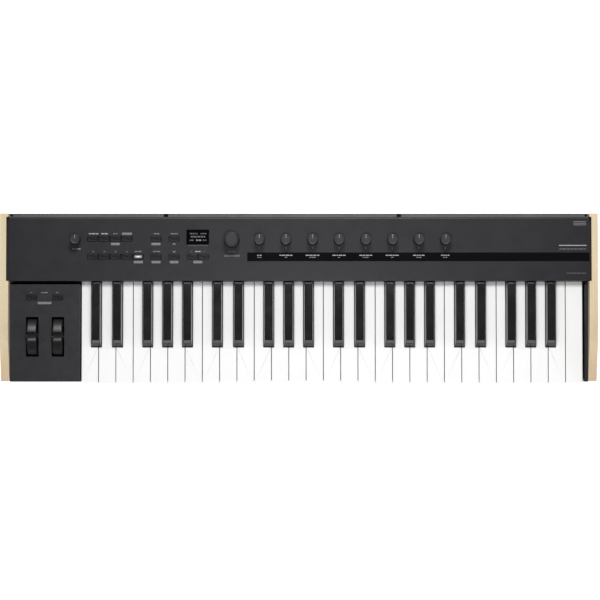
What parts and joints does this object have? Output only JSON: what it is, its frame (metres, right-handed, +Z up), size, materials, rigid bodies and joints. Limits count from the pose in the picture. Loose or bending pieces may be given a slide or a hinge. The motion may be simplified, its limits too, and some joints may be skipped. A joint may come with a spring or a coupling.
{
  "type": "midi keyboard",
  "caption": "Compact MIDI controller keyboard with wooden end cheeks, hinged piano-style keys, two control wheels, a row of rotary knobs, push buttons and a small display.",
  "frame": {"origin": "centre of the footprint on the plane that the rubber feet stand on", "axes": "+X from bass to treble along the keys, +Y from the player towards the rear rail, +Z up"},
  "size_m": [0.808, 0.23, 0.0796],
  "materials": {
    "white_key": "satin gloss",
    "black_key": "fine matte",
    "knob_plastic": "soft matte",
    "button_plastic": "matte",
    "wheel_plastic": "rubbery matte",
    "case_plastic": "fine texture",
    "panel_metal": "fine matte powder coat",
    "block_plastic": "fine texture",
    "cheek_wood": "pale oiled wood",
    "rail_metal": "dark anodised satin",
    "gloss_strip": "high gloss",
    "display_glass": "dark smoked gloss",
    "chassis_steel": "black coated steel",
    "chassis_plastic": "moulded, fine texture",
    "bright_steel": "bright",
    "screw_steel": "black oxide",
    "felt": "felt",
    "circuit_board": "solder mask",
    "jack_plastic": "matte",
    "foot_rubber": "matte",
    "print_white": "screen print",
    "print_grey": "screen print"
  },
  "bodies": {
    "frame": {"bottom_case": "case_plastic", "case_screws": "screw_steel", "contact_board": "circuit_board", "display_window": "display_glass", "key_chassis": "chassis_plastic", "key_felts": "felt", "key_pivot_rod": "bright_steel", "key_springs": "bright_steel", "label_strip": "gloss_strip", "left_cheek": "cheek_wood", "panel_board": "circuit_board", "rear_jacks": "jack_plastic", "rear_rail": "rail_metal", "right_cheek": "cheek_wood", "right_end_block": "block_plastic", "rubber_feet": "foot_rubber", "top_panel": "panel_metal", "wheel_bracket": "chassis_steel", "wheel_panel": "block_plastic"},
    "pitch_wheel": {"pitch_wheel": "wheel_plastic"},
    "mod_wheel": {"mod_wheel": "wheel_plastic"},
    "value_encoder": {"value_encoder": "knob_plastic"},
    "volume_knob": {"volume_knob": "knob_plastic"},
    "knob_1": {"knob_1": "knob_plastic"},
    "keys_c1_c3_c5": {"keys_c1_c3_c5": "white_key"},
    "keys_cs1_cs3": {"keys_cs1_cs3": "black_key"},
    "keys_d1_d3": {"keys_d1_d3": "white_key"},
    "keys_ds1_ds3": {"keys_ds1_ds3": "black_key"},
    "keys_f2_f4": {"keys_f2_f4": "white_key"},
    "upper_button_row": {"upper_button_row": "button_plastic"},
    "lower_button_row": {"lower_button_row": "button_plastic"},
    "centre_button_block": {"centre_button_block": "button_plastic"},
    "page_button_pair": {"page_button_pair": "button_plastic"},
    "octave_button_pair": {"octave_button_pair": "button_plastic"},
    "keys_e1_e3": {"keys_e1_e3": "white_key"},
    "keys_f1_f3": {"keys_f1_f3": "white_key"},
    "keys_fs1_fs3": {"keys_fs1_fs3": "black_key"},
    "keys_g1_g3": {"keys_g1_g3": "white_key"},
    "keys_gs1_gs3": {"keys_gs1_gs3": "black_key"},
    "keys_a1_a3": {"keys_a1_a3": "white_key"},
    "keys_as1_as3": {"keys_as1_as3": "black_key"},
    "keys_b1_b3": {"keys_b1_b3": "white_key"},
    "keys_c2_c4": {"keys_c2_c4": "white_key"},
    "keys_cs2_cs4": {"keys_cs2_cs4": "black_key"},
    "keys_d2_d4": {"keys_d2_d4": "white_key"},
    "keys_ds2_ds4": {"keys_ds2_ds4": "black_key"},
    "keys_e2_e4": {"keys_e2_e4": "white_key"},
    "keys_fs2_fs4": {"keys_fs2_fs4": "black_key"},
    "keys_g2_g4": {"keys_g2_g4": "white_key"},
    "keys_gs2_gs4": {"keys_gs2_gs4": "black_key"},
    "keys_a2_a4": {"keys_a2_a4": "white_key"},
    "keys_as2_as4": {"keys_as2_as4": "black_key"},
    "keys_b2_b4": {"keys_b2_b4": "white_key"},
    "knob_2": {"knob_2": "knob_plastic"},
    "knob_3": {"knob_3": "knob_plastic"},
    "knob_4": {"knob_4": "knob_plastic"},
    "knob_5": {"knob_5": "knob_plastic"},
    "knob_6": {"knob_6": "knob_plastic"},
    "knob_7": {"knob_7": "knob_plastic"},
    "knob_8": {"knob_8": "knob_plastic"}
  },
  "joints": [
    {"name": "pitch_wheel_turn", "type": "hinge", "parent": "frame", "child": "pitch_wheel", "pos_m": [-0.3616, -0.052, 0.038], "axis": [1, 0, 0], "range_deg": [-32, 32], "stiffness_Nm_per_rad": 0.06},
    {"name": "mod_wheel_turn", "type": "hinge", "parent": "frame", "child": "mod_wheel", "pos_m": [-0.3268, -0.052, 0.038], "axis": [1, 0, 0], "range_deg": [-32, 32]},
    {"name": "value_encoder_turn", "type": "hinge", "parent": "frame", "child": "value_encoder", "pos_m": [-0.0908, 0.079, 0.064], "axis": [0, 0, 1], "continuous": true},
    {"name": "volume_knob_turn", "type": "hinge", "parent": "frame", "child": "volume_knob", "pos_m": [-0.302, 0.079, 0.064], "axis": [0, 0, 1], "range_deg": [-150, 150]},
    {"name": "knob_1_turn", "type": "hinge", "parent": "frame", "child": "knob_1", "pos_m": [-0.0533, 0.079, 0.064], "axis": [0, 0, 1], "range_deg": [-150, 150]},
    {"name": "keys_c1_c3_c5_press", "type": "hinge", "parent": "frame", "child": "keys_c1_c3_c5", "pos_m": [0, 0.075, 0.034], "axis": [1, 0, 0], "range_deg": [0, 3], "stiffness_Nm_per_rad": 2.25, "springref_deg": -5.73},
    {"name": "keys_cs1_cs3_press", "type": "hinge", "parent": "frame", "child": "keys_cs1_cs3", "pos_m": [0, 0.075, 0.034], "axis": [1, 0, 0], "range_deg": [0, 3], "stiffness_Nm_per_rad": 1.5, "springref_deg": -5.73},
    {"name": "keys_d1_d3_press", "type": "hinge", "parent": "frame", "child": "keys_d1_d3", "pos_m": [0, 0.075, 0.034], "axis": [1, 0, 0], "range_deg": [0, 3], "stiffness_Nm_per_rad": 1.5, "springref_deg": -5.73},
    {"name": "keys_ds1_ds3_press", "type": "hinge", "parent": "frame", "child": "keys_ds1_ds3", "pos_m": [0, 0.075, 0.034], "axis": [1, 0, 0], "range_deg": [0, 3], "stiffness_Nm_per_rad": 1.5, "springref_deg": -5.73},
    {"name": "keys_f2_f4_press", "type": "hinge", "parent": "frame", "child": "keys_f2_f4", "pos_m": [0, 0.075, 0.034], "axis": [1, 0, 0], "range_deg": [0, 3], "stiffness_Nm_per_rad": 1.5, "springref_deg": -5.73},
    {"name": "upper_button_row_press", "type": "slide", "parent": "frame", "child": "upper_button_row", "axis": [0, 0, -1], "range_m": [0, 0.0007], "stiffness_N_per_m": 500, "springref_m": -0.0015},
    {"name": "lower_button_row_press", "type": "slide", "parent": "frame", "child": "lower_button_row", "axis": [0, 0, -1], "range_m": [0, 0.0007], "stiffness_N_per_m": 500, "springref_m": -0.0015},
    {"name": "centre_button_block_press", "type": "slide", "parent": "frame", "child": "centre_button_block", "axis": [0, 0, -1], "range_m": [0, 0.0007], "stiffness_N_per_m": 500, "springref_m": -0.0015},
    {"name": "page_button_pair_press", "type": "slide", "parent": "frame", "child": "page_button_pair", "axis": [0, 0, -1], "range_m": [0, 0.0007], "stiffness_N_per_m": 500, "springref_m": -0.0015},
    {"name": "octave_button_pair_press", "type": "slide", "parent": "frame", "child": "octave_button_pair", "axis": [0, 0, -1], "range_m": [0, 0.0007], "stiffness_N_per_m": 500, "springref_m": -0.0015},
    {"name": "keys_e1_e3_press", "type": "hinge", "parent": "frame", "child": "keys_e1_e3", "pos_m": [0, 0.075, 0.034], "axis": [1, 0, 0], "range_deg": [0, 3], "stiffness_Nm_per_rad": 1.5, "springref_deg": -5.73},
    {"name": "keys_f1_f3_press", "type": "hinge", "parent": "frame", "child": "keys_f1_f3", "pos_m": [0, 0.075, 0.034], "axis": [1, 0, 0], "range_deg": [0, 3], "stiffness_Nm_per_rad": 1.5, "springref_deg": -5.73},
    {"name": "keys_fs1_fs3_press", "type": "hinge", "parent": "frame", "child": "keys_fs1_fs3", "pos_m": [0, 0.075, 0.034], "axis": [1, 0, 0], "range_deg": [0, 3], "stiffness_Nm_per_rad": 1.5, "springref_deg": -5.73},
    {"name": "keys_g1_g3_press", "type": "hinge", "parent": "frame", "child": "keys_g1_g3", "pos_m": [0, 0.075, 0.034], "axis": [1, 0, 0], "range_deg": [0, 3], "stiffness_Nm_per_rad": 1.5, "springref_deg": -5.73},
    {"name": "keys_gs1_gs3_press", "type": "hinge", "parent": "frame", "child": "keys_gs1_gs3", "pos_m": [0, 0.075, 0.034], "axis": [1, 0, 0], "range_deg": [0, 3], "stiffness_Nm_per_rad": 1.5, "springref_deg": -5.73},
    {"name": "keys_a1_a3_press", "type": "hinge", "parent": "frame", "child": "keys_a1_a3", "pos_m": [0, 0.075, 0.034], "axis": [1, 0, 0], "range_deg": [0, 3], "stiffness_Nm_per_rad": 1.5, "springref_deg": -5.73},
    {"name": "keys_as1_as3_press", "type": "hinge", "parent": "frame", "child": "keys_as1_as3", "pos_m": [0, 0.075, 0.034], "axis": [1, 0, 0], "range_deg": [0, 3], "stiffness_Nm_per_rad": 1.5, "springref_deg": -5.73},
    {"name": "keys_b1_b3_press", "type": "hinge", "parent": "frame", "child": "keys_b1_b3", "pos_m": [0, 0.075, 0.034], "axis": [1, 0, 0], "range_deg": [0, 3], "stiffness_Nm_per_rad": 1.5, "springref_deg": -5.73},
    {"name": "keys_c2_c4_press", "type": "hinge", "parent": "frame", "child": "keys_c2_c4", "pos_m": [0, 0.075, 0.034], "axis": [1, 0, 0], "range_deg": [0, 3], "stiffness_Nm_per_rad": 1.5, "springref_deg": -5.73},
    {"name": "keys_cs2_cs4_press", "type": "hinge", "parent": "frame", "child": "keys_cs2_cs4", "pos_m": [0, 0.075, 0.034], "axis": [1, 0, 0], "range_deg": [0, 3], "stiffness_Nm_per_rad": 1.5, "springref_deg": -5.73},
    {"name": "keys_d2_d4_press", "type": "hinge", "parent": "frame", "child": "keys_d2_d4", "pos_m": [0, 0.075, 0.034], "axis": [1, 0, 0], "range_deg": [0, 3], "stiffness_Nm_per_rad": 1.5, "springref_deg": -5.73},
    {"name": "keys_ds2_ds4_press", "type": "hinge", "parent": "frame", "child": "keys_ds2_ds4", "pos_m": [0, 0.075, 0.034], "axis": [1, 0, 0], "range_deg": [0, 3], "stiffness_Nm_per_rad": 1.5, "springref_deg": -5.73},
    {"name": "keys_e2_e4_press", "type": "hinge", "parent": "frame", "child": "keys_e2_e4", "pos_m": [0, 0.075, 0.034], "axis": [1, 0, 0], "range_deg": [0, 3], "stiffness_Nm_per_rad": 1.5, "springref_deg": -5.73},
    {"name": "keys_fs2_fs4_press", "type": "hinge", "parent": "frame", "child": "keys_fs2_fs4", "pos_m": [0, 0.075, 0.034], "axis": [1, 0, 0], "range_deg": [0, 3], "stiffness_Nm_per_rad": 1.5, "springref_deg": -5.73},
    {"name": "keys_g2_g4_press", "type": "hinge", "parent": "frame", "child": "keys_g2_g4", "pos_m": [0, 0.075, 0.034], "axis": [1, 0, 0], "range_deg": [0, 3], "stiffness_Nm_per_rad": 1.5, "springref_deg": -5.73},
    {"name": "keys_gs2_gs4_press", "type": "hinge", "parent": "frame", "child": "keys_gs2_gs4", "pos_m": [0, 0.075, 0.034], "axis": [1, 0, 0], "range_deg": [0, 3], "stiffness_Nm_per_rad": 1.5, "springref_deg": -5.73},
    {"name": "keys_a2_a4_press", "type": "hinge", "parent": "frame", "child": "keys_a2_a4", "pos_m": [0, 0.075, 0.034], "axis": [1, 0, 0], "range_deg": [0, 3], "stiffness_Nm_per_rad": 1.5, "springref_deg": -5.73},
    {"name": "keys_as2_as4_press", "type": "hinge", "parent": "frame", "child": "keys_as2_as4", "pos_m": [0, 0.075, 0.034], "axis": [1, 0, 0], "range_deg": [0, 3], "stiffness_Nm_per_rad": 1.5, "springref_deg": -5.73},
    {"name": "keys_b2_b4_press", "type": "hinge", "parent": "frame", "child": "keys_b2_b4", "pos_m": [0, 0.075, 0.034], "axis": [1, 0, 0], "range_deg": [0, 3], "stiffness_Nm_per_rad": 1.5, "springref_deg": -5.73},
    {"name": "knob_2_turn", "type": "hinge", "parent": "frame", "child": "knob_2", "pos_m": [-0.0174, 0.079, 0.064], "axis": [0, 0, 1], "range_deg": [-150, 150]},
    {"name": "knob_3_turn", "type": "hinge", "parent": "frame", "child": "knob_3", "pos_m": [0.0185, 0.079, 0.064], "axis": [0, 0, 1], "range_deg": [-150, 150]},
    {"name": "knob_4_turn", "type": "hinge", "parent": "frame", "child": "knob_4", "pos_m": [0.0544, 0.079, 0.064], "axis": [0, 0, 1], "range_deg": [-150, 150]},
    {"name": "knob_5_turn", "type": "hinge", "parent": "frame", "child": "knob_5", "pos_m": [0.0905, 0.079, 0.064], "axis": [0, 0, 1], "range_deg": [-150, 150]},
    {"name": "knob_6_turn", "type": "hinge", "parent": "frame", "child": "knob_6", "pos_m": [0.1264, 0.079, 0.064], "axis": [0, 0, 1], "range_deg": [-150, 150]},
    {"name": "knob_7_turn", "type": "hinge", "parent": "frame", "child": "knob_7", "pos_m": [0.1622, 0.079, 0.064], "axis": [0, 0, 1], "range_deg": [-150, 150]},
    {"name": "knob_8_turn", "type": "hinge", "parent": "frame", "child": "knob_8", "pos_m": [0.1981, 0.079, 0.064], "axis": [0, 0, 1], "range_deg": [-150, 150]}
  ]
}
